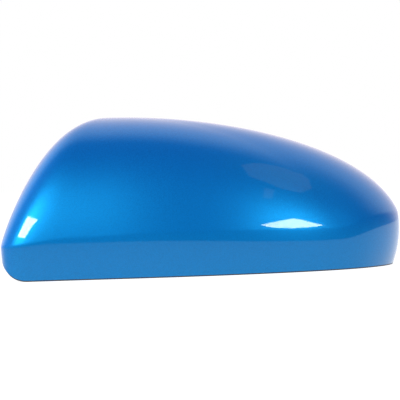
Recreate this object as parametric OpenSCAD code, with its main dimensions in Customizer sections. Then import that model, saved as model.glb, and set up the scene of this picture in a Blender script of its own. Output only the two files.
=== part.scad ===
// Painted wing mirror cover: one moulded shell that lies on its rim, opening down.
// The arm end is at -X, the swept outer tip at +X, and the visible long side at -Y.

/* [Overall] */
// Length from the arm end to the outer tip
body_l = 211.5; // [190:0.5:240]
// Width from the visible long side to the far long side
body_w = 126; // [110:1:145]
// Height of the crown above the rim
body_h = 83.5; // [70:0.5:100]
// Thickness of the moulded wall
wall = 2.5; // [2:0.1:3]

/* [Plan] */
// Distance of the crown from the arm end
crown_from_arm = 57.5; // [45:0.5:70]
// Distance of the crown line from the visible long side
crown_from_near = 61; // [54:1:68]
// Distance of the outer tip from the visible long side
tip_from_near = 83; // [74:1:90]
// Slant of the arm end, as a share of the width
arm_slant = 0.08; // [0:0.01:0.15]

/* [Crease and rim] */
// Height of the crease above the rim along the arm half
crease_h = 19; // [16:0.5:24]
// How far the crease dips before it reaches the tip
crease_dip = 3.3; // [0:0.1:5]
// Height of the crease where it runs out at the arm end
arm_crease_h = 17; // [16.8:0.1:22]
// Height of the crease where it runs out at the tip
tip_crease_h = 22.5; // [20:0.5:27]
// Radius of the trimmed corners beside the arm opening
arm_corner_r = 15.6; // [10:0.2:16]

/* [Snap hooks] */
// Width of a snap hook
hook_w = 12; // [8:0.5:16]
// Thickness of a snap hook's leg and shelf
hook_t = 2; // [1.6:0.1:2.6]
// Height of a hook's lower end above the rim
hook_low = 4; // [2:0.5:6]
// Height of a hook's shelf above the rim
shelf_z = 25; // [24:0.5:30]
// How far the barb stands out from the leg
barb = 2.2; // [1:0.1:3]
// Gap between a hook's leg and the wall behind it
hook_gap = 5; // [4:0.5:7]

/* [Pegs and ribs] */
// Diameter of the locating pegs
peg_d = 6; // [4:0.5:8]
// Length of a locating peg below its boss
peg_len = 9; // [6:0.5:12]
// Diameter of the boss that carries a peg
boss_d = 11; // [9:0.5:14]
// Distance of a boss's lower end below the crown
boss_drop = 22; // [18:1:26]
// Thickness of the stiffening ribs
rib_t = 1.6; // [1.2:0.1:2.4]
// Depth of the stiffening ribs below the roof
rib_h = 6; // [4:0.5:8]

/* [Hidden] */
half_l = body_l / 2;
crown_x = crown_from_arm - half_l;
near_y = -body_w / 2;
far_y = body_w / 2;
tip_y = near_y + tip_from_near;
crown_y = near_y + crown_from_near;
arm_reach = crown_x + half_l;
tip_reach = half_l - crown_x;
// Exponents of the four rising sections, width first and height second
arm_exp = [2.09, 1.23];
tip_exp = [1.9, 2.1];
near_exp = [2.3, 1.7];
far_exp = [2.3, 1.8];
// How far below the crease each section would stand upright
near_lead = 0.06;
tip_lead = 0.12;
// Exponents of the plan corners at the crown, and what they gain down at the crease
near_arm_corner = [6, 6];
far_arm_corner = [2.4, 3.5];
near_tip_corner = 2.3;
far_tip_corner = 2.5;
corner_fade = 2;
// Lean of the band in degrees, at its crease and at its rim
side_lean = [-3, -7];
tip_lean = [11, -29];
// Places along X where the crease dips, rises to the tip and fades at the arm end
dip_x = [-37, 66];
rise_x = [69, 103];
fade_x = [-76, -104];
band_turn_x = [60, half_l];
// Strip that stands almost upright on the crease: its height at the arm end and at the tip,
// where it grows along X, its lean from upright in degrees and the height share of its ring
strip_h = [3, 7];
strip_x = [-80, 50];
strip_lean = 1.5;
strip_w = 0.06;
// Places along X of the hooks on each long side, and of the hook across the tip
near_hook_x = [-66, -6, 48];
far_hook_x = [-58, 4, 60];
tip_hook_step = 2;
// Places of the pegs and of the stiffening ribs, and the height where the ribs run out
peg_at = [[-24, 20], [40, 4]];
rib_x = [-40, -8, 24, 56];
rib_low = 34;
// Points round the outline and rings up the wall
round_steps = 120;
band_rings = 3;
dome_rings = 16;
crown_spacing = 2.2;
corner_crowding = 0.6;

function ease(a, b, t) = let(u = max(0, min(1, (t - a) / (b - a)))) u * u * (3 - 2 * u);

// Width left at height share w of a section that starts upright at its lead below the crease
function section(w, lead, e) =
    let(u = (w + lead) / (1 + lead), u0 = lead / (1 + lead))
    pow(max(0, 1 - pow(u, e[1])) / (1 - pow(u0, e[1])), 1 / e[0]);

// Level curve at height share w: half lengths along X and Y, corner exponent and middle
function span_x(w, c) = c < 0 ? arm_reach * section(w, 0, arm_exp) : tip_reach * section(w, tip_lead, tip_exp);
function span_y(w, s) =
    s < 0 ? tip_from_near * section(w, near_lead, near_exp)
          : (body_w - tip_from_near) * section(w, near_lead, far_exp);
function corner(w, c, s) =
    let(k = pow(1 - w, corner_fade))
    c < 0 ? (s < 0 ? near_arm_corner[0] + near_arm_corner[1] * k
                   : far_arm_corner[0] + far_arm_corner[1] * k)
          : (s < 0 ? near_tip_corner : far_tip_corner);
function middle_y(w) = tip_y + (crown_y - tip_y) * w * w;
function radial(w, c, s) = let(n = corner(w, c, s)) pow(pow(abs(c), n) + pow(abs(s), n), -1 / n);
function slant(x, y) = x + arm_slant * (y - near_y) * pow(max(0, crown_x - x) / arm_reach, 2);

// Point of the level curve at height share w in the direction of cosine c and sine s
function level_point(w, c, s) =
    let(r = radial(w, c, s),
        x = crown_x + span_x(w, c) * r * c,
        y = middle_y(w) + span_y(w, s) * r * s)
    [slant(x, y), y];

// Height of the crease above the rim, from its place along X
function crease_z(x) =
    crease_h - crease_dip * ease(dip_x[0], dip_x[1], x)
    + (tip_crease_h - crease_h + crease_dip) * ease(rise_x[0], rise_x[1], x)
    - (crease_h - arm_crease_h) * ease(fade_x[0], fade_x[1], x);

// Height of the rim: flat, but lifted round the arm opening by the corner arc
function rim_z(c, s) =
    let(d = arm_reach * (1 - max(0, -radial(0, c, s) * c)), e = max(0, arm_corner_r - d))
    c < 0 ? arm_corner_r - sqrt(max(0, arm_corner_r * arm_corner_r - e * e)) : 0;

// Directions round the outline, crowded at the two arm corners
angles = [for (i = [0:round_steps - 1])
    let(t = 360 * i / round_steps)
    t + (cos(t) < 0 ? corner_crowding / 4 * sin(4 * t) * 180 / PI : 0)];
outline = [for (a = angles) level_point(0, cos(a), sin(a))];
out_n = [for (i = [0:round_steps - 1])
    let(p = outline[(i + 1) % round_steps] - outline[(i + round_steps - 1) % round_steps])
    [p[1], -p[0]] / norm(p)];

// How far the band stands out from the crease outline at height z
function band_out(i, z) =
    let(x = outline[i][0],
        top = crease_z(x),
        k = ease(band_turn_x[0], band_turn_x[1], x),
        a1 = tan(side_lean[0] + (tip_lean[0] - side_lean[0]) * k),
        a0 = tan(side_lean[1] + (tip_lean[1] - side_lean[1]) * k),
        q = (top - z) / top)
    top * (a1 * q + (a0 - a1) * q * q / 2);

// Slope by which the strip has to turn the dome's foot towards upright
turns = [for (i = [0:round_steps - 1])
    let(up = strip_w / 6,
        in = outline[i] - level_point(up, cos(angles[i]), sin(angles[i])),
        rise = (body_h - crease_z(outline[i][0])) * up)
    max(0, in * out_n[i] / rise - tan(strip_lean))];

// How far the skin steps in at height z, so that the strip stands upright and runs into the dome
function strip_in(i, z) =
    let(low = crease_z(outline[i][0]),
        h = strip_h[0] + (strip_h[1] - strip_h[0]) * ease(strip_x[0], strip_x[1], outline[i][0]),
        u = max(0, min(1, (z - low) / h)))
    turns[i] * h * (0.75 - u + pow(u, 4) / 4);

function band_point(i, v) =
    let(low = rim_z(cos(angles[i]), sin(angles[i])),
        z = low + (crease_z(outline[i][0]) - low) * v,
        p = outline[i] + out_n[i] * (band_out(i, z) - strip_in(i, z)))
    [p[0], p[1], z];

// Height shares of the dome's rings: the crease, the strip, then closer together up to the crown
dome_w = [0, strip_w, for (k = [1:dome_rings - 1]) 1 - pow(1 - k / dome_rings, crown_spacing)];
function dome_point(i, w) =
    let(low = crease_z(outline[i][0]),
        z = low + (body_h - low) * w,
        p = level_point(w, cos(angles[i]), sin(angles[i])) - out_n[i] * strip_in(i, z))
    [p[0], p[1], z];

free_rings = concat(
    [for (j = [0:band_rings - 1]) [for (i = [0:round_steps - 1]) band_point(i, j / band_rings)]],
    [for (w = dome_w) [for (i = [0:round_steps - 1]) dome_point(i, w)]]);
ring_count = len(free_rings);

// The slant, the band and the strip move the sides a little, so the plan is drawn out to its sizes
low_x = min([for (r = free_rings) for (p = r) p[0]]);
high_x = max([for (r = free_rings) for (p = r) p[0]]);
low_y = min([for (r = free_rings) for (p = r) p[1]]);
high_y = max([for (r = free_rings) for (p = r) p[1]]);
function fit_x(x) = (x - low_x) * body_l / (high_x - low_x) - half_l;
function fit_y(y) = (y - low_y) * body_w / (high_y - low_y) + near_y;
rings = [for (r = free_rings) [for (p = r) [fit_x(p[0]), fit_y(p[1]), p[2]]]];

function unit(v) = v / norm(v);
function skin_normal(j, i) =
    let(round_way = rings[j][(i + 1) % round_steps] - rings[j][(i + round_steps - 1) % round_steps],
        up_way = rings[min(j + 1, ring_count - 1)][i] - rings[max(j - 1, 0)][i])
    unit(cross(round_way, up_way));

// Inside of the wall: the rim ring keeps its height, and every other ring steps in squarely
inner = [for (j = [0:ring_count - 1]) [for (i = [0:round_steps - 1])
    j == 0 ? rings[0][i] - wall * [out_n[i][0], out_n[i][1], 0]
           : rings[j][i] - wall * skin_normal(j, i)]];

module shell() {
    n = round_steps;
    m = ring_count;
    outer_pole = 2 * m * n;
    inner_pole = outer_pole + 1;
    points = concat([for (r = rings) each r], [for (r = inner) each r],
                    [[fit_x(crown_x), fit_y(crown_y), body_h],
                     [fit_x(crown_x), fit_y(crown_y), body_h - wall]]);
    skin = [for (j = [0:m - 2]) for (i = [0:n - 1])
        let(a = j * n + i, b = j * n + (i + 1) % n)
        each [[a, a + n, b], [b, a + n, b + n]]];
    lining = [for (f = skin) [f[0] + m * n, f[2] + m * n, f[1] + m * n]];
    rim = [for (i = [0:n - 1])
        let(b = (i + 1) % n)
        each [[i, b, m * n + i], [b, m * n + b, m * n + i]]];
    crown = [for (i = [0:n - 1]) let(a = (m - 1) * n) [a + i, outer_pole, a + (i + 1) % n]];
    ceiling = [for (i = [0:n - 1]) let(a = (2 * m - 1) * n) [a + i, a + (i + 1) % n, inner_pole]];
    polyhedron(points = points, faces = concat(skin, lining, rim, crown, ceiling), convexity = 6);
}

// Solid that fills the cover up to the middle of its wall, so that what grows from the
// roof ends inside the wall
module core() {
    js = [for (j = [0:2:ring_count - 1]) j];
    is = [for (i = [0:2:round_steps - 1]) i];
    n = len(is);
    m = len(js);
    floor_ring = [for (i = is) let(p = (rings[0][i] + inner[0][i]) / 2) [p[0], p[1], -1]];
    body = [for (j = js) for (i = is) (rings[j][i] + inner[j][i]) / 2];
    top = [fit_x(crown_x), fit_y(crown_y), body_h - wall / 2];
    skin = [for (j = [0:m - 1]) for (i = [0:n - 1])
        let(a = j * n + i, b = j * n + (i + 1) % n)
        each [[a, a + n, b], [b, a + n, b + n]]];
    lid = [for (i = [0:n - 1]) [m * n + i, (m + 1) * n, m * n + (i + 1) % n]];
    base = [[for (i = [0:n - 1]) i]];
    polyhedron(points = concat(floor_ring, body, [top]), faces = concat(skin, lid, base), convexity = 6);
}

// Snap hook that stands in from the wall: local +Y points inwards from the wall's inner face
module hook() {
    reach = hook_gap + hook_t;
    root = wall / 2;
    translate([-hook_w / 2, -root, shelf_z]) cube([hook_w, reach + root, hook_t]);
    translate([-hook_w / 2, hook_gap, hook_low]) cube([hook_w, hook_t, shelf_z - hook_low + hook_t]);
    translate([-hook_w / 2, reach, hook_low])
        rotate([90, 0, 90])
        linear_extrude(hook_w)
        polygon([[-hook_t / 2, 0], [0, 0], [barb, 2 * barb], [-hook_t / 2, 2 * barb]]);
    for (x = [-hook_w / 2, hook_w / 2 - rib_t])
        translate([x, 0, shelf_z + hook_t / 2])
        rotate([90, 0, 90])
        linear_extrude(rib_t)
        polygon([[-root, 0], [reach, 0], [reach, hook_t / 2], [0, reach + hook_t], [-root, reach + hook_t]]);
}

// Step of the outline that lies nearest to x on the near side (-1) or the far side (1)
function step_at(x, side) =
    let(d = [for (i = [0:round_steps - 1])
        abs(rings[band_rings][i][0] - x) + (outline[i][1] * side < 0 ? body_l : 0)])
    search(min(d), d)[0];

module place_hook(i) {
    p = inner[band_rings][i];
    translate([p[0], p[1], 0]) rotate(atan2(-out_n[i][1], -out_n[i][0]) - 90) hook();
}

// Boss and locating peg that hang from the roof
module peg(x, y) {
    low = body_h - boss_drop;
    translate([x, y, low]) cylinder(d = boss_d, h = boss_drop, $fn = 48);
    translate([x, y, low - peg_len]) cylinder(d = peg_d, h = peg_len + 1, $fn = 48);
}

module ribs() {
    difference() {
        for (x = rib_x) translate([x - rib_t / 2, near_y, rib_low]) cube([rib_t, body_w, body_h]);
        translate([0, 0, -rib_h - wall / 2]) core();
    }
}

module cover() {
    color("royalblue") {
        shell();
        intersection() {
            core();
            union() {
                for (x = near_hook_x) place_hook(step_at(x, -1));
                for (x = far_hook_x) place_hook(step_at(x, 1));
                place_hook(tip_hook_step);
                for (p = peg_at) peg(p[0], p[1]);
                ribs();
            }
        }
    }
}

cover();
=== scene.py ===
"""Painted wing mirror cover, lying on its rim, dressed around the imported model."""
import bpy
import math
import numpy as np
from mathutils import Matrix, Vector
from mathutils.bvhtree import BVHTree


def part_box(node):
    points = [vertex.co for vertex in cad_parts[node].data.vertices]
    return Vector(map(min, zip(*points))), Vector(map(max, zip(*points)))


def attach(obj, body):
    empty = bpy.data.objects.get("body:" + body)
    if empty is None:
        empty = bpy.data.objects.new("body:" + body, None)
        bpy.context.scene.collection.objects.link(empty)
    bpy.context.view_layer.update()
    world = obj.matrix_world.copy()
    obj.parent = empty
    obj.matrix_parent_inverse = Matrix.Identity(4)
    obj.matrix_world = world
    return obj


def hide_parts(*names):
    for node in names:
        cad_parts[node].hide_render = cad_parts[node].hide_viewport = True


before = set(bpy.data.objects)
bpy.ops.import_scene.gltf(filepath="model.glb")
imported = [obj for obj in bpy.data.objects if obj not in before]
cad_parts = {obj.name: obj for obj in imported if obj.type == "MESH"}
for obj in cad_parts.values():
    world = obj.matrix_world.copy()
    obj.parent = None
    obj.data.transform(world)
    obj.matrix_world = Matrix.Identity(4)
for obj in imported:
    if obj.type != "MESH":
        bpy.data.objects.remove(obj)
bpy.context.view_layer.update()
cover_low, cover_high = (np.array(c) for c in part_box("cover"))
MM = 0.001
UP = np.array([0.0, 0.0, 1.0])
LEVEL = np.array([1.0, 1.0, 0.0])

# Sizes of the cover, in millimetres, as the model has them
BODY_L, BODY_W, BODY_H = (cover_high - cover_low) / MM
WALL = 2.5
CROWN_FROM_ARM = 57.5
CROWN_FROM_NEAR = 61.0
TIP_FROM_NEAR = 83.0
ARM_SLANT = 0.08
CREASE_H = 19.0
CREASE_DIP = 3.3
ARM_CREASE_H = 17.0
TIP_CREASE_H = 22.5
ARM_CORNER_R = 15.6

HALF_L = BODY_L / 2
NEAR_Y = -BODY_W / 2
CROWN_X = CROWN_FROM_ARM - HALF_L
TIP_Y = NEAR_Y + TIP_FROM_NEAR
CROWN_Y = NEAR_Y + CROWN_FROM_NEAR
ARM_REACH = CROWN_FROM_ARM
TIP_REACH = BODY_L - CROWN_FROM_ARM

# Exponents of the four rising sections, width first and height second
ARM_EXP = (2.09, 1.23)
TIP_EXP = (1.9, 2.1)
NEAR_EXP = (2.3, 1.7)
FAR_EXP = (2.3, 1.8)
NEAR_LEAD = 0.06
TIP_LEAD = 0.12

# Exponents of the level curves, near side and far side: at the tip, at the arm end under the crown, and
# how much larger the last are at the crease
TIP_N = (2.3, 2.5)
ARM_N = (6, 2.4)
ARM_N_MORE = (6, 3.5)

# Where along the cover the crease dips, rises round the tip and fades at the arm end, start and end
DIP_X = (-37, 66)
RISE_X = (69, 103)
FADE_X = (-76, -104)

# Lean of the band outwards in degrees, under the crease and at the rim: on the long sides, and at the tip
# as the solids have it. Just under the crease the visible band starts less steeply at the tip.
BAND_LEAN = (-3, -7)
TIP_LEAN = (11, -29)
TIP_START_LEAN = 2
TIP_LEAN_X = 60
TIP_START_X = 90

# Strip that stands almost upright on the crease: its height towards the arm end and the tip, where it
# grows, its height at the very end of the arm, where it falls to that, its lean in degrees, the power of its
# turn into the dome, and the share of the height at which the dome's own slope is read
STRIP_H = (3.0, 7.0)
STRIP_X = (-80, 50)
STRIP_END = 1.6
STRIP_END_X = (-66, -90)
STRIP_LEAN = 1.5
STRIP_TURN = 12
STRIP_LOOK = 0.01

# Snap hooks on the inside of the walls
HOOK_W = 12.0
HOOK_T = 2.0
HOOK_LOW = 4.0
SHELF_Z = 25.0
GUSSET_T = 1.6
BARB = 2.2
HOOK_GAP = 5.0
NEAR_HOOK_X = (-66, -6, 48)
FAR_HOOK_X = (-58, 4, 60)
TIP_HOOK_DEGREES = 6
HOOK_STEPS = 120
# Bosses with locating pegs, and stiffening ribs, under the roof
PEG_D = 6.0
PEG_LEN = 9.0
BOSS_D = 11.0
BOSS_DROP = 22.0
PEG_AT = ((-24, 20), (40, 4))
RIB_T = 1.6
RIB_H = 6.0
RIB_X = (-40, -8, 24, 56)
RIB_LOW = 34.0
PEG_STEPS = 64
RIB_STEPS = 160
# How deep a fitting is rooted in the wall, the rounding of its edges and of the rim's two edges
ROOT = 1.0
EDGE = 0.35
RIM_ROUND = 0.6

# Edges of the hooks, pegs and ribs that turn by more than this stay sharp, in degrees
SHARP_FROM = 30

# Finishes: the blues of the flakes and the black of the moulding, flakes and orange peel per metre, and the
# depth of the peel in metres
DARK_FLAKE = (0.0004, 0.175, 0.418)
LIGHT_FLAKE = (0.0006, 0.215, 0.51)
MOULDING = (0.018, 0.018, 0.019)
FLAKE_SCALE = 3000
PEEL_SCALE = 300
PEEL_DEPTH = 0.000004

# Radiance of the lights in red, green and blue, where 1 is white
LIGHTS = {
    "softbox_right": (28.0, 28.0, 26.0),
    "softbox_left": (42.0, 42.0, 37.0),
    "umbrella": (0.7, 0.7, 0.7),
    "umbrella_stand": (0.7, 0.7, 0.7),
    # floor_back and floor_front are the floor's own glow: painted light, from no lamp
    "floor_back": (0.24, 0.23, 0.2),
    "floor_front": (0.64, 0.64, 0.64),
    "room": (0.043, 0.085, 0.43),
    "sweep": (0.95, 0.83, 0.6),
    "ceiling": (0.044, 0.044, 0.11),
    "left": (0.45, 0.8, 1.13),
}
# How far the panels stand from the cover, in metres. Each panel: a place on the cover that sees it, in
# millimetres, and the directions of its corners from there, azimuth and elevation in degrees, where
# azimuth 0 is towards the camera
PANEL_DISTANCE = 1.3
PANELS = {
    "softbox_right": ((44, -49, 25), [(31, 21), (42, 17), (59, 21), (46, 25)]),
    "softbox_left": ((-90, -61, 28), [(-12, 26), (-33, 34), (-35, 26), (-17, 20), (-14, 25)]),
    "umbrella": ((37, -41, 50), [(56, 60), (72, 62), (83, 61), (91, 57), (92, 52),
                                 (85, 48), (77, 43), (63, 40), (54, 42), (45, 50)]),
    "umbrella_stand": ((32, -48, 41), [(45, 42), (49, 41), (43, 35), (39, 35)]),
}

# Parts of the floor that glow themselves, a painted pool of light from no lamp, from and to along Y in
# metres, and lit walls of the room, from and to along an axis of the unit direction
FLOOR_PAINTED_GLOW = {"floor_front": (-0.45, -0.15), "floor_back": (-0.18, 0.04)}
WALLS = {"sweep": (-0.1, 0.4), "ceiling": (0.3, 1.0), "left": (-0.2, -1.0)}

# Sweep: how far back it stands at the floor, and the height at which it has come forward, as parts of the
# unit direction. Floor: half its length in metres, its grey, and its white in view.
SWEEP_FOOT = -0.63
SWEEP_FOOT_TO = 0.45
FLOOR_HALF = 3.0
FLOOR_GREY = 0.3
FLOOR_SEEN = 0.92

# Camera, in metres and degrees, and the width of its view at the cover
CAMERA_DISTANCE = 1.2
VIEW_WIDTH = 0.2149
CAMERA_ELEVATION = 1.17
CAMERA_ROLL = -1.74
CAMERA_AIM = (-0.0023, 0.0, 0.0379)
SENSOR = 36

# Grid of the visible shell: points round it, their crowding at the arm end's corners, and rings up it
ROUND_STEPS = 360
CORNER_CROWDING = 0.6
BAND_RINGS = 36
DOME_RINGS = 160
CREASE_CROWDING = 1.6
LINING_RINGS = 44
RIM_RINGS = 6


def ease(a, b, t):
    """Smooth step from 0 at a to 1 at b: u^2 (3 - 2 u), where u is the share of the way."""
    u = np.clip((t - a) / (b - a), 0, 1)
    return u * u * (3 - 2 * u)


def tangent(degrees):
    """Tangent of an angle in degrees."""
    return np.tan(np.radians(degrees))


def section(w, lead, exps):
    """Width left at height share w: (1 - u^q)^(1/p), where u starts a little above upright."""
    u = (w + lead) / (1 + lead)
    u0 = lead / (1 + lead)
    return (np.clip(1 - u ** exps[1], 0, 1) / (1 - u0 ** exps[1])) ** (1 / exps[0])


def radial(w, c, s):
    """Radius of the superellipse |c|^n + |s|^n = 1, whose exponent n sharpens towards the crease."""
    k = (1 - w) ** 2
    arm = np.where(s < 0, ARM_N[0] + ARM_N_MORE[0] * k, ARM_N[1] + ARM_N_MORE[1] * k)
    tip = np.where(s < 0, TIP_N[0], TIP_N[1])
    n = np.where(c < 0, arm, tip)
    return (np.abs(c) ** n + np.abs(s) ** n) ** (-1 / n)


def level_point(w, c, s):
    """Plan place at height share w, in the direction of cosine c and sine s from the crown line: the middle,
    plus the section's width times the superellipse's radius, plus a slant of the arm end that grows as the
    square of the share of the way to it."""
    span_x = np.where(c < 0, ARM_REACH * section(w, 0, ARM_EXP), TIP_REACH * section(w, TIP_LEAD, TIP_EXP))
    span_y = np.where(s < 0, TIP_FROM_NEAR * section(w, NEAR_LEAD, NEAR_EXP),
                      (BODY_W - TIP_FROM_NEAR) * section(w, NEAR_LEAD, FAR_EXP))
    r = radial(w, c, s)
    x = CROWN_X + span_x * r * c
    y = TIP_Y + (CROWN_Y - TIP_Y) * w * w + span_y * r * s
    x = x + ARM_SLANT * (y - NEAR_Y) * (np.maximum(0, CROWN_X - x) / ARM_REACH) ** 2
    return x, y


def crease_z(x):
    """Height of the crease, a sum of smooth steps: it dips, rises round the tip and fades at the arm end."""
    return (CREASE_H - CREASE_DIP * ease(*DIP_X, x)
            + (TIP_CREASE_H - CREASE_H + CREASE_DIP) * ease(*RISE_X, x)
            - (CREASE_H - ARM_CREASE_H) * ease(*FADE_X, x))


def rim_z(c, s):
    """Height of the rim: flat, but lifted along a quarter circle, R - sqrt(R^2 - e^2), at the arm opening."""
    d = ARM_REACH * (1 - np.maximum(0, -radial(0.0, c, s) * c))
    e = np.maximum(0, ARM_CORNER_R - d)
    return np.where(c < 0, ARM_CORNER_R - np.sqrt(np.maximum(0, ARM_CORNER_R ** 2 - e * e)), 0)


def outline_normal(x, y):
    """Level normal of a closed outline, pointing outwards."""
    tx = np.roll(x, -1) - np.roll(x, 1)
    ty = np.roll(y, -1) - np.roll(y, 1)
    length = np.hypot(tx, ty)
    return ty / length, -tx / length


def band_points(x0, y0, nx, ny, low, top):
    """Band under the crease, on a grid of rings: at share q below the crease its slope changes evenly from
    a1 to a0, so it stands out by top (a1 q + (a0 - a1) q^2 / 2)."""
    turn = ease(TIP_LEAN_X, HALF_L, x0)
    at_crease, at_rim = (side + (tip - side) * turn for side, tip in zip(BAND_LEAN, TIP_LEAN))
    start = BAND_LEAN[0] + (TIP_START_LEAN - BAND_LEAN[0]) * ease(TIP_START_X, HALF_L, x0)
    # The two slopes add up to those of the solids, so the band ends at the solids' rim
    a1 = tangent(start)
    a0 = tangent(at_crease) + tangent(at_rim) - a1
    v = np.linspace(0, 1, BAND_RINGS, endpoint=False)[:, None]
    z = low + RIM_ROUND + (top - low - RIM_ROUND) * v
    q = (top - z) / top
    out = top * (a1 * q + (a0 - a1) * q * q / 2)
    return np.stack([x0 + nx * out, y0 + ny * out, z], -1)


def strip_step(grid, x0, y0, nx, ny, c, s, top):
    """How far each point steps inwards so that the dome's foot stands almost upright on the crease: slope
    times height times ((n - 1) / n - u + u^n / n) at share u of the strip's height, with n = STRIP_TURN."""
    x1, y1 = level_point(STRIP_LOOK, c, s)
    inwards = ((x0 - x1) * nx + (y0 - y1) * ny) / ((BODY_H - top) * STRIP_LOOK)
    slope = np.maximum(0, inwards - tangent(STRIP_LEAN))
    height = STRIP_H[0] + (STRIP_H[1] - STRIP_H[0]) * ease(*STRIP_X, x0)
    height = height - (STRIP_H[0] - STRIP_END) * ease(*STRIP_END_X, x0)
    u = np.clip((grid[..., 2] - top) / height, 0, 1)
    return slope * height * ((STRIP_TURN - 1) / STRIP_TURN - u + u ** STRIP_TURN / STRIP_TURN)


def skin():
    """Grid of the outer skin, rim to crown: band, strip and dome, a function of the share of the way up and
    of the direction round the crown, stretched to the solids' length and width."""
    t = np.linspace(0, 2 * np.pi, ROUND_STEPS, endpoint=False)
    phi = t + np.where(np.cos(t) < 0, CORNER_CROWDING / 4 * np.sin(4 * t), 0)
    c, s = np.cos(phi), np.sin(phi)
    x0, y0 = level_point(0.0, c, s)
    nx, ny = outline_normal(x0, y0)
    top = crease_z(x0)
    band = band_points(x0, y0, nx, ny, rim_z(c, s), top)
    w = (1 - (1 - np.linspace(0, 1, DOME_RINGS, endpoint=False)) ** CREASE_CROWDING)[:, None]
    x, y = level_point(w, c[None, :], s[None, :])
    dome = np.stack([x, y, top + (BODY_H - top) * w], -1)
    grid = np.concatenate([band, dome])
    step = strip_step(grid, x0, y0, nx, ny, c, s, top)
    grid[..., 0] -= nx * step
    grid[..., 1] -= ny * step
    low_x, high_x = grid[..., 0].min(), grid[..., 0].max()
    stretch = BODY_L / (high_x - low_x)
    grid[..., 0] = (grid[..., 0] - low_x) * stretch - HALF_L
    low_y, high_y = grid[..., 1].min(), grid[..., 1].max()
    grid[..., 1] = (grid[..., 1] - low_y) * BODY_W / (high_y - low_y) + NEAR_Y
    crown = np.array([(CROWN_X - low_x) * stretch - HALF_L, CROWN_Y, BODY_H])
    return grid, crown


def grid_normals(grid):
    """Unit normals of a grid of rings, outwards: the way round crossed with the way up."""
    across = np.roll(grid, -1, 1) - np.roll(grid, 1, 1)
    up = np.empty_like(grid)
    up[1:-1] = grid[2:] - grid[:-2]
    up[0], up[-1] = grid[1] - grid[0], grid[-1] - grid[-2]
    n = np.cross(across, up)
    return n / np.linalg.norm(n, axis=-1, keepdims=True)


def ring_quads(first, second, count):
    """Quads between two rings of count points, given by their first points."""
    i = np.arange(count)
    j = (i + 1) % count
    return np.stack([first + i, first + j, second + j, second + i], -1)


def tube_quads(rings, count):
    """Quads of a tube of rings that follow each other, count points each."""
    return np.concatenate([ring_quads(k * count, (k + 1) * count, count) for k in range(rings - 1)])


def fan(first, count, apex):
    """Triangles from a ring, given by its first point, to one point."""
    i = np.arange(count)
    return np.stack([first + i, first + (i + 1) % count, np.full(count, apex)], -1)


def make_mesh(name, points, faces):
    """A smooth mesh object from an array of points in millimetres and a list of faces."""
    mesh = bpy.data.meshes.new(name)
    mesh.from_pydata((points * MM).tolist(), [], faces)
    mesh.polygons.foreach_set("use_smooth", [True] * len(mesh.polygons))
    mesh.update()
    obj = bpy.data.objects.new(name, mesh)
    bpy.context.scene.collection.objects.link(obj)
    return obj


def shell():
    """The moulded shell: outer skin, rounded rim edge, and the lining, which is the skin less one wall along
    its normals."""
    outer, crown = skin()
    normals = grid_normals(outer)
    rows = np.unique(np.linspace(0, len(outer) - 1, LINING_RINGS).astype(int))
    lining = outer[rows] - WALL * normals[rows]
    flat = np.stack([*outline_normal(outer[0, :, 0], outer[0, :, 1]), np.zeros(ROUND_STEPS)], -1)
    lining[0] = outer[0] - WALL * flat
    # Rim: a quarter circle down from the outer ring, the flat foot, and a quarter circle up to the inner ring
    turn = np.linspace(0, np.pi / 2, RIM_RINGS // 2 + 1)[1:]
    inwards = RIM_ROUND * (1 - np.cos(turn))
    down = RIM_ROUND * np.sin(turn)
    inwards = np.concatenate([inwards, WALL - inwards[::-1]])
    down = np.concatenate([down, down[::-1]])
    edge = outer[0] - flat * inwards[:, None, None] - UP * down[:, None, None]
    return outer, edge, lining, crown


def build_shell(outer, edge, lining, crown):
    """The shell as one closed mesh: skin from the crown down, rim edge, and lining up to the ceiling."""
    n = ROUND_STEPS
    grid = np.concatenate([outer[::-1], edge, lining])
    points = np.concatenate([grid.reshape(-1, 3), [crown, crown - WALL * UP]])
    quads = tube_quads(len(grid), n)[:, ::-1]
    roof = fan(0, n, len(points) - 2)
    ceiling = fan((len(grid) - 1) * n, n, len(points) - 1)[:, ::-1]
    obj = make_mesh("cover_shell", points, quads.tolist() + roof.tolist() + ceiling.tolist())
    # Slot 0 is the paint, on the skin and the crown, and slot 1 the bare moulding, which takes in the rounded
    # rim edge too: there its black is partly the unpainted edge and partly painted contact shade along the
    # foot
    slots = np.zeros(len(obj.data.polygons), int)
    slots[(len(outer) - 1) * n:] = 1
    slots[len(quads):len(quads) + n] = 0
    obj.data.polygons.foreach_set("material_index", slots)
    return obj


def wall_tree(lining, crown):
    """Search tree over the inner face of the wall, in millimetres."""
    n = ROUND_STEPS
    points = np.concatenate([lining.reshape(-1, 3), [crown - WALL * UP]])
    ceiling = fan((len(lining) - 1) * n, n, len(points) - 1)
    return BVHTree.FromPolygons(points.tolist(), tube_quads(len(lining), n).tolist() + ceiling.tolist())


def joined(name, solids):
    """One object from several closed solids, each an array of points and a list of faces."""
    starts = np.cumsum([0] + [len(points) for points, _ in solids])
    faces = [[start + k for k in face] for start, (_, part) in zip(starts.tolist(), solids) for face in part]
    return make_mesh(name, np.concatenate([points for points, _ in solids]), faces)


def extruded(profile, low, high, origin, along, inwards):
    """Solid from a profile of (inwards, up) points, counter-clockwise, drawn along the wall from low to high:
    a point is the origin plus its x along, its y inwards and its z up."""
    y, z = np.array(profile).T[..., None]
    section_points = origin + y * inwards + z * UP
    n = len(profile)
    ends = [list(range(n))[::-1], list(range(n, 2 * n))]
    return np.concatenate([section_points + along * low, section_points + along * high]), \
        ring_quads(0, n, n).tolist() + ends


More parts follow.
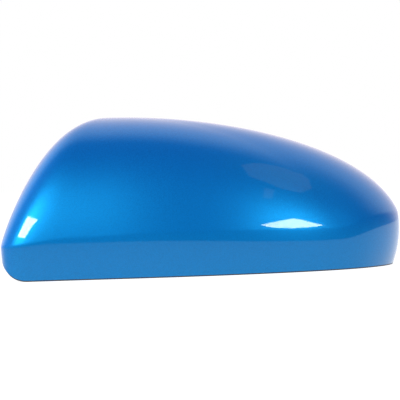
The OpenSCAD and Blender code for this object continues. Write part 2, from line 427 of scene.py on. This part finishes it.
def hook_solids(tree, foot, normal):
    """Snap hook: a shelf out of the wall, a leg with a barb down from it, and two gussets on the shelf, each
    a profile carried along the wall."""
    inwards = -np.array([normal[0], normal[1], 0])
    along = np.array([inwards[1], -inwards[0], 0])
    origin = foot * LEVEL
    reach = HOOK_GAP + HOOK_T

    def wall_at(z):
        """Distance inwards of the root at height z: a ray back to the wall, and on into it."""
        start = 2 * reach
        hit = tree.ray_cast(Vector(origin + inwards * start + UP * z), Vector(-inwards))
        return start - hit[3] - ROOT

    shelf_top = SHELF_Z + HOOK_T
    clip = [(wall_at(SHELF_Z), SHELF_Z), (HOOK_GAP, SHELF_Z), (HOOK_GAP, HOOK_LOW), (reach, HOOK_LOW),
            (reach + BARB, HOOK_LOW + 2 * BARB), (reach, HOOK_LOW + 2 * BARB), (reach, shelf_top),
            (wall_at(shelf_top), shelf_top)]
    solids = [extruded(clip, -HOOK_W / 2, HOOK_W / 2, origin, along, inwards)]
    # Each gusset slopes from the leg up to the wall, at a rise of (reach + 1) over reach
    foot_z = shelf_top - HOOK_T / 2
    heights = np.linspace(foot_z, shelf_top + reach + 1, 12)
    slope = reach - np.maximum(0, heights - shelf_top) * reach / (reach + 1)
    wall = np.array([wall_at(z) for z in heights])
    inside = wall < slope
    gusset = [(reach, foot_z), (reach, shelf_top), (slope[inside][-1], heights[inside][-1])]
    gusset += list(zip(wall[inside][::-1], heights[inside][::-1]))
    for x in (-HOOK_W / 2, HOOK_W / 2 - GUSSET_T):
        solids.append(extruded(gusset, x, x + GUSSET_T, origin, along, inwards))
    return solids


def build_hooks(tree, outer):
    """Three hooks on each long side and one at the tip, at the nearest of HOOK_STEPS places round it."""
    crease = outer[BAND_RINGS]
    normals = np.stack(outline_normal(crease[:, 0], crease[:, 1]), -1)
    feet = crease - WALL * grid_normals(outer)[BAND_RINGS]
    steps = np.arange(0, ROUND_STEPS, ROUND_STEPS // HOOK_STEPS)
    chosen = [TIP_HOOK_DEGREES * ROUND_STEPS // 360]
    for side, places in ((-1, NEAR_HOOK_X), (1, FAR_HOOK_X)):
        mine = steps[crease[steps, 1] * side > 0]
        chosen += [mine[np.abs(crease[mine, 0] - x).argmin()] for x in places]
    hooks = joined("snap_hooks", [solid for i in chosen for solid in hook_solids(tree, feet[i], normals[i])])
    rounding = hooks.modifiers.new("rounded_edges", "BEVEL")
    rounding.width = EDGE * MM
    rounding.segments = 2
    rounding.limit_method = "ANGLE"
    return hooks


def peg_solid(tree, x, y):
    """Boss that follows the roof at its top, and a chamfered peg below it: a profile of radius and height
    turned round the middle (x, y), with the top ring's heights found on the roof."""
    turn = np.linspace(0, 2 * np.pi, PEG_STEPS, endpoint=False)
    circle = np.stack([np.cos(turn), np.sin(turn)], -1)
    low = BODY_H - BOSS_DROP
    foot = low - PEG_LEN
    peg, boss = PEG_D / 2, BOSS_D / 2
    profile = [(peg - 2 * EDGE, foot), (peg, foot + 2 * EDGE), (peg, low - EDGE), (peg + EDGE, low),
               (boss - EDGE, low), (boss, low + EDGE), (boss, low)]

    def roof(px, py):
        """Height of the roof over a place, and on into it."""
        return tree.ray_cast(Vector((px, py, low)), Vector(UP))[0][2] + ROOT

    radii, heights = np.array(profile).T
    n = len(circle)
    rings = np.empty((len(profile), n, 3))
    rings[..., :2] = (x, y) + radii[:, None, None] * circle
    rings[..., 2] = heights[:, None]
    rings[-1, :, 2] = [roof(*place) for place in rings[-1, :, :2]]
    points = np.concatenate([rings.reshape(-1, 3), [(x, y, foot), (x, y, roof(x, y))]])
    last = (len(profile) - 1) * n
    bottom, top = fan(0, n, len(points) - 2)[:, ::-1], fan(last, n, len(points) - 1)
    return points, tube_quads(len(profile), n).tolist() + bottom.tolist() + top.tolist()


def rib_solid(tree, x):
    """Stiffening rib across the roof: a six-cornered section carried along Y, whose top follows the roof and
    whose foot is RIB_H below it, but never below RIB_LOW."""
    ys = np.linspace(NEAR_Y, -NEAR_Y, RIB_STEPS)
    hits = [tree.ray_cast(Vector((x, y, RIB_LOW)), Vector(UP))[0] for y in ys]
    y = np.array([place for place, hit in zip(ys, hits) if hit is not None])
    z = np.array([hit[2] for hit in hits if hit is not None])
    half = RIB_T / 2
    low, top = np.maximum(RIB_LOW, z - RIB_H), z + ROOT
    across = x + np.array([-half, -half, EDGE - half, half - EDGE, half, half])
    up = np.stack([top, low + EDGE, low, low, low + EDGE, top], -1)
    rings = np.stack([*np.broadcast_arrays(across, y[:, None], up)], -1)
    n = len(across)
    last = (len(y) - 1) * n
    ends = [list(range(n)), list(range(last, last + n))[::-1]]
    return rings.reshape(-1, 3), tube_quads(len(y), n)[:, ::-1].tolist() + ends


def new_material(name):
    """A material with nodes, and its node and link lists."""
    material = bpy.data.materials.new(name)
    material.use_nodes = True
    return material, material.node_tree.nodes, material.node_tree.links


def paint_material():
    """Metallic blue base coat under a clear coat: fine flakes vary the blue from cell to cell, and noise
    bends the coat's normal for a faint orange peel."""
    m, nodes, links = new_material("metallic_blue_paint")
    b = nodes["Principled BSDF"]
    place = nodes.new("ShaderNodeTexCoord")
    flakes = nodes.new("ShaderNodeTexVoronoi")
    flakes.inputs["Scale"].default_value = FLAKE_SCALE
    links.new(place.outputs["Object"], flakes.inputs["Vector"])
    split = nodes.new("ShaderNodeSeparateColor")
    links.new(flakes.outputs["Color"], split.inputs[0])
    blues = nodes.new("ShaderNodeMix")
    blues.data_type = "RGBA"
    blues.inputs[6].default_value = (*DARK_FLAKE, 1)
    blues.inputs[7].default_value = (*LIGHT_FLAKE, 1)
    links.new(split.outputs[0], blues.inputs[0])
    links.new(blues.outputs[2], b.inputs["Base Color"])
    peel = nodes.new("ShaderNodeTexNoise")
    peel.inputs["Scale"].default_value = PEEL_SCALE
    peel.inputs["Detail"].default_value = 1
    links.new(place.outputs["Object"], peel.inputs["Vector"])
    bump = nodes.new("ShaderNodeBump")
    bump.inputs["Distance"].default_value = PEEL_DEPTH
    links.new(peel.outputs[0], bump.inputs["Height"])
    links.new(bump.outputs[0], b.inputs["Coat Normal"])
    b.inputs["Metallic"].default_value = 0.6
    b.inputs["Roughness"].default_value = 0.38
    b.inputs["Specular IOR Level"].default_value = 0.1
    b.inputs["Coat Weight"].default_value = 1
    b.inputs["Coat Roughness"].default_value = 0.03
    b.inputs["Coat IOR"].default_value = 1.33
    return m


def plastic_material():
    """Bare black moulding."""
    m, nodes, _ = new_material("bare_black_moulding")
    b = nodes["Principled BSDF"]
    b.inputs["Base Color"].default_value = (*MOULDING, 1)
    b.inputs["Roughness"].default_value = 0.5
    return m


def added(nodes, links, first, second):
    """Sum of two shaders."""
    both = nodes.new("ShaderNodeAddShader")
    links.new(first, both.inputs[0])
    links.new(second, both.inputs[1])
    return both.outputs[0]


def ramp(nodes, links, value, start, end):
    """A value's share of the way from start to end, as a node that can be altered further."""
    grow = nodes.new("ShaderNodeMapRange")
    grow.inputs["From Min"].default_value = start
    grow.inputs["From Max"].default_value = end
    links.new(value, grow.inputs["Value"])
    return grow


def build_stage():
    """White floor that keeps the contact shadow, and whose own painted glow lights the cover by more towards
    the sweep behind.
    """
    h = FLOOR_HALF
    mesh = bpy.data.meshes.new("floor")
    mesh.from_pydata([(-h, -h, 0), (h, -h, 0), (h, h, 0), (-h, h, 0)], [], [(0, 1, 2, 3)])
    floor = bpy.data.objects.new("floor", mesh)
    bpy.context.scene.collection.objects.link(floor)
    m, nodes, links = new_material("white_floor")
    nodes.clear()
    out = nodes.new("ShaderNodeOutputMaterial")
    path = nodes.new("ShaderNodeLightPath")
    table = nodes.new("ShaderNodeBsdfDiffuse")
    table.inputs["Color"].default_value = (FLOOR_GREY, FLOOR_GREY, FLOOR_GREY, 1)
    place = nodes.new("ShaderNodeTexCoord")
    split = nodes.new("ShaderNodeSeparateXYZ")
    links.new(place.outputs["Object"], split.inputs[0])
    lit_and_glowing = table.outputs[0]
    # The floor gives off light of its own along Y, for all but camera rays: a painted pool of light
    for name, (start, end) in FLOOR_PAINTED_GLOW.items():
        grow = ramp(nodes, links, split.outputs["Y"], start, end)
        glow = nodes.new("ShaderNodeEmission")
        glow.inputs["Color"].default_value = (*LIGHTS[name], 1)
        links.new(grow.outputs[0], glow.inputs["Strength"])
        lit_and_glowing = added(nodes, links, lit_and_glowing, glow.outputs[0])
    # In view the floor is plain white, and darkens only in the contact shadow
    seen = nodes.new("ShaderNodeEmission")
    seen.inputs["Strength"].default_value = FLOOR_SEEN
    pick = nodes.new("ShaderNodeMixShader")
    links.new(path.outputs["Is Camera Ray"], pick.inputs["Fac"])
    links.new(lit_and_glowing, pick.inputs[1])
    links.new(added(nodes, links, table.outputs[0], seen.outputs[0]), pick.inputs[2])
    links.new(pick.outputs[0], out.inputs[0])
    mesh.materials.append(m)


def build_camera():
    """Long lens, almost level, rolled a little as the photograph is."""
    data = bpy.data.cameras.new("camera")
    cam = bpy.data.objects.new("camera", data)
    bpy.context.scene.collection.objects.link(cam)
    data.sensor_width = SENSOR
    data.lens = SENSOR * CAMERA_DISTANCE / VIEW_WIDTH
    elevation = math.radians(CAMERA_ELEVATION)
    back = Vector((0, -math.cos(elevation), math.sin(elevation)))
    cam.location = Vector(CAMERA_AIM) + back * CAMERA_DISTANCE
    cam.rotation_euler = (-back).to_track_quat("-Z", "Y").to_euler()
    cam.rotation_euler.rotate_axis("Z", math.radians(CAMERA_ROLL))
    bpy.context.scene.camera = cam


def build_panel(name, seen_from, corners):
    """Flat glowing panel outside the picture: rays from a place on the cover towards its corners, each as
    long as it takes to meet the plane at PANEL_DISTANCE across their middle direction."""
    az, el = np.radians(np.array(corners, float)).T
    rays = np.stack([np.cos(el) * np.sin(az), -np.cos(el) * np.cos(az), np.sin(el)], -1)
    middle = rays.mean(0) / np.linalg.norm(rays.mean(0))
    points = rays * PANEL_DISTANCE / (rays @ middle)[:, None] + np.array(seen_from) * MM
    mesh = bpy.data.meshes.new(name)
    mesh.from_pydata(points.tolist(), [], [list(range(len(points)))])
    panel = bpy.data.objects.new(name, mesh)
    bpy.context.scene.collection.objects.link(panel)
    m, nodes, links = new_material(name)
    nodes.clear()
    out = nodes.new("ShaderNodeOutputMaterial")
    glow = nodes.new("ShaderNodeEmission")
    glow.inputs["Color"].default_value = (*LIGHTS[name], 1)
    links.new(glow.outputs[0], out.inputs[0])
    mesh.materials.append(m)
    panel.visible_camera = False


def build_room():
    """World: a dark blue room, plus walls that grow by a smooth step along an axis of the direction. The
    camera sees plain white instead."""
    world = bpy.data.worlds.new("studio")
    bpy.context.scene.world = world
    world.use_nodes = True
    nodes, links = world.node_tree.nodes, world.node_tree.links
    nodes.clear()
    out = nodes.new("ShaderNodeOutputWorld")
    path = nodes.new("ShaderNodeLightPath")
    place = nodes.new("ShaderNodeTexCoord")
    split = nodes.new("ShaderNodeSeparateXYZ")
    links.new(place.outputs["Generated"], split.inputs[0])
    # The sweep stands further back near the floor
    foot = ramp(nodes, links, split.outputs["Z"], 0, SWEEP_FOOT_TO)
    foot.inputs["To Min"].default_value = SWEEP_FOOT
    foot.inputs["To Max"].default_value = 0
    back = nodes.new("ShaderNodeMath")
    links.new(split.outputs["Y"], back.inputs[0])
    links.new(foot.outputs[0], back.inputs[1])
    axes = {"sweep": back.outputs[0], "ceiling": split.outputs["Z"], "left": split.outputs["X"]}
    room = nodes.new("ShaderNodeBackground")
    room.inputs["Color"].default_value = (*LIGHTS["room"], 1)
    total = room.outputs[0]
    for name, (start, end) in WALLS.items():
        grow = ramp(nodes, links, axes[name], start, end)
        grow.interpolation_type = "SMOOTHSTEP"
        wall = nodes.new("ShaderNodeBackground")
        wall.inputs["Color"].default_value = (*LIGHTS[name], 1)
        links.new(grow.outputs[0], wall.inputs["Strength"])
        total = added(nodes, links, total, wall.outputs[0])
    white = nodes.new("ShaderNodeBackground")
    white.inputs["Color"].default_value = (1, 1, 1, 1)
    white.inputs["Strength"].default_value = 1
    pick = nodes.new("ShaderNodeMixShader")
    links.new(path.outputs["Is Camera Ray"], pick.inputs["Fac"])
    links.new(total, pick.inputs[1])
    links.new(white.outputs[0], pick.inputs[2])
    links.new(pick.outputs[0], out.inputs[0])


outer, edge, lining, crown = shell()
tree = wall_tree(lining, crown)
plastic = plastic_material()
cover = build_shell(outer, edge, lining, crown)
cover.data.materials.append(paint_material())
cover.data.materials.append(plastic)
hooks = build_hooks(tree, outer)
pegs = joined("locating_pegs", [peg_solid(tree, x, y) for x, y in PEG_AT])
ribs = joined("stiffening_ribs", [rib_solid(tree, x) for x in RIB_X])
for fitting in (hooks, pegs, ribs):
    fitting.data.set_sharp_from_angle(angle=math.radians(SHARP_FROM))
    fitting.data.materials.append(plastic)
for piece in (cover, hooks, pegs, ribs):
    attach(piece, "root")
    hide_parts("cover")
build_stage()
build_camera()
for name, (seen_from, corners) in PANELS.items():
    build_panel(name, seen_from, corners)
build_room()
bpy.context.scene.view_settings.view_transform = "Standard"
